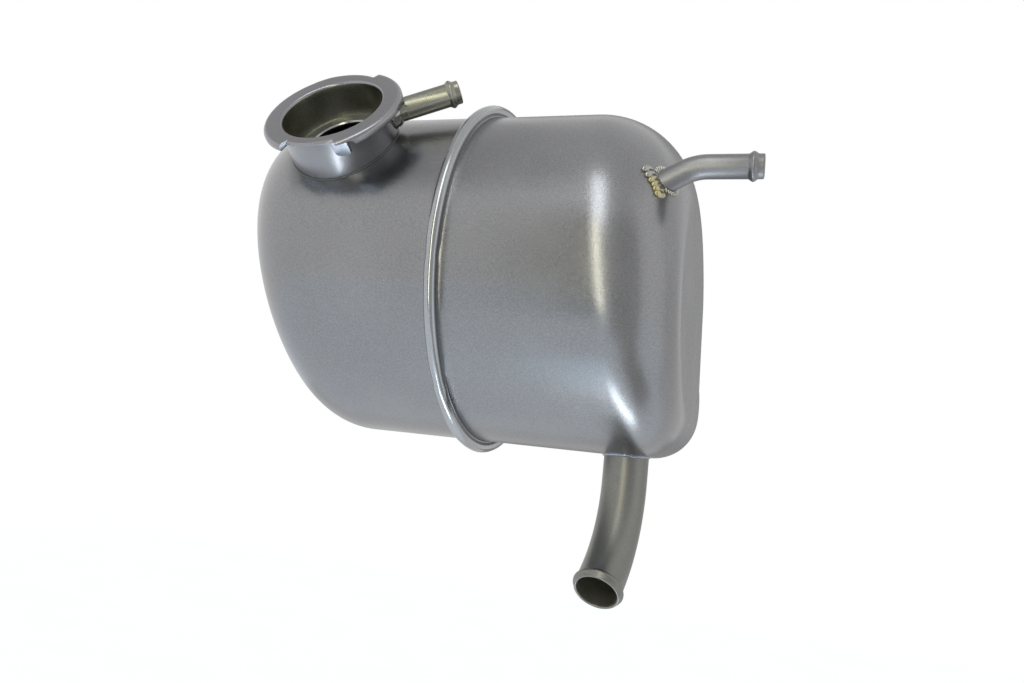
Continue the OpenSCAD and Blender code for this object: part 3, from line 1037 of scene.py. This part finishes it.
def strip_lamp(name, place, size, glow, colour, upright=UPRIGHT):
    """A lamp that mirrors see with the brightness glow."""
    data = bpy.data.lights.new(name, "AREA")
    data.shape = "RECTANGLE"
    data.size, data.size_y = size
    data.energy = glow * math.pi * size[0] * size[1]
    data.color = colour
    obj = bpy.data.objects.new(name, data)
    bpy.context.scene.collection.objects.link(obj)
    obj.visible_camera = False
    obj.matrix_world = Matrix.Translation(place) @ facing_tank(place, upright)


def card(name, place, size, grey, upright=UPRIGHT):
    """A grey card that only mirrors see."""
    bpy.ops.object.select_all(action="DESELECT")
    bpy.ops.mesh.primitive_plane_add(size=1)
    obj = bpy.context.object
    obj.name = name
    turned = Matrix.Translation(place) @ facing_tank(place, upright)
    obj.data.transform(turned @ Matrix.Diagonal((*size, 1, 1)))
    mat = bpy.data.materials.new(name + "_cloth")
    mat.use_nodes = True
    nodes = mat.node_tree.nodes
    glow = nodes.new("ShaderNodeEmission")
    weave = nodes.new("ShaderNodeTexNoise")
    weave.inputs["Scale"].default_value = 3
    tone = nodes.new("ShaderNodeMapRange")
    tone.inputs["To Min"].default_value = 0.8 * grey
    tone.inputs["To Max"].default_value = 1.2 * grey
    link(mat.node_tree, weave, "Fac", tone, "Value")
    link(mat.node_tree, tone, "Result", glow, "Strength")
    link(mat.node_tree, glow, "Emission", nodes["Material Output"], "Surface")
    obj.data.materials.append(mat)
    obj.visible_camera = obj.visible_diffuse = obj.visible_shadow = False


strip_lamp("strip_front", toward(-86, 3, 0.9), (0.11, 0.9), 4.3, (1, 0.97, 0.72))
strip_lamp("strip_top", toward(-82, 45, 0.9), (0.22, 0.5), 2.9, (0.93, 0.97, 1))
strip_lamp("strip_blue", Vector((-0.08, -0.4, -0.9)), (0.2, 0.26), 0.9, (0.45, 0.75, 1))
strip_lamp(
    "strip_below", Vector((0.13, -0.02, -0.9)), (0.12, 0.56), 7.5, (0.84, 0.93, 1), ALONG_FILLET)
card("curtain_right", toward(-53, 0, 1.1), (0.98, 1.9), 0.58)
card("curtain_left", toward(-98.8, 4, 1.0), (0.15, 1.3), 0.01)
card("curtain_low", Vector((0.62, -0.25, -0.8)), (0.45, 0.8), 0.5, ALONG_Y)
card("floor_back", Vector((-0.2, 1.25, -1.15)), (3.2, 1.8), 0.78, ALONG_Y)
card("backdrop_right", toward(42, 5, 1.6), (1.75, 2.4), 0.8)
card("backdrop_back", toward(93, 5, 1.6), (1.1, 2.4), 0.36)
card("ceiling", Vector((0, 0, 1.4)), (2.4, 2.4), 0.8, ALONG_Y)
card("ceiling_left", Vector((-0.75, 0, 1.2)), (0.9, 1.6), 0.6, ALONG_Y)
print(len(bpy.data.lights), "lamps")

# %% [markdown]
# ## Camera
#
# The camera stands close in front of the tank, a little to the right and below its middle,
# and looks up to the left. Its place and its three directions come from a camera fitted to
# the outline of the tank.

# %% Camera
data = bpy.data.cameras.new("camera")
data.sensor_width = 36
FOCAL_PIXELS = 796
IMAGE_WIDTH = 1024
data.lens = data.sensor_width * FOCAL_PIXELS / IMAGE_WIDTH
data.clip_start = 0.01
data.clip_end = 30
camera = bpy.data.objects.new("camera", data)
bpy.context.scene.collection.objects.link(camera)
RIGHT_WAY = Vector((0.944844, 0.31064, 0.103793))
DOWN_WAY = Vector((0.060763, 0.145149, -0.987542))
LOOK_WAY = Vector((-0.321835, 0.93938, 0.118268))
turn = Matrix((RIGHT_WAY, -DOWN_WAY, -LOOK_WAY)).transposed().to_4x4()
camera.matrix_world = Matrix.Translation((0.130496, -0.352974, -0.072715)) @ turn
bpy.context.scene.camera = camera
bpy.context.scene.view_settings.view_transform = "Standard"
print("lens", round(data.lens, 2), "mm")
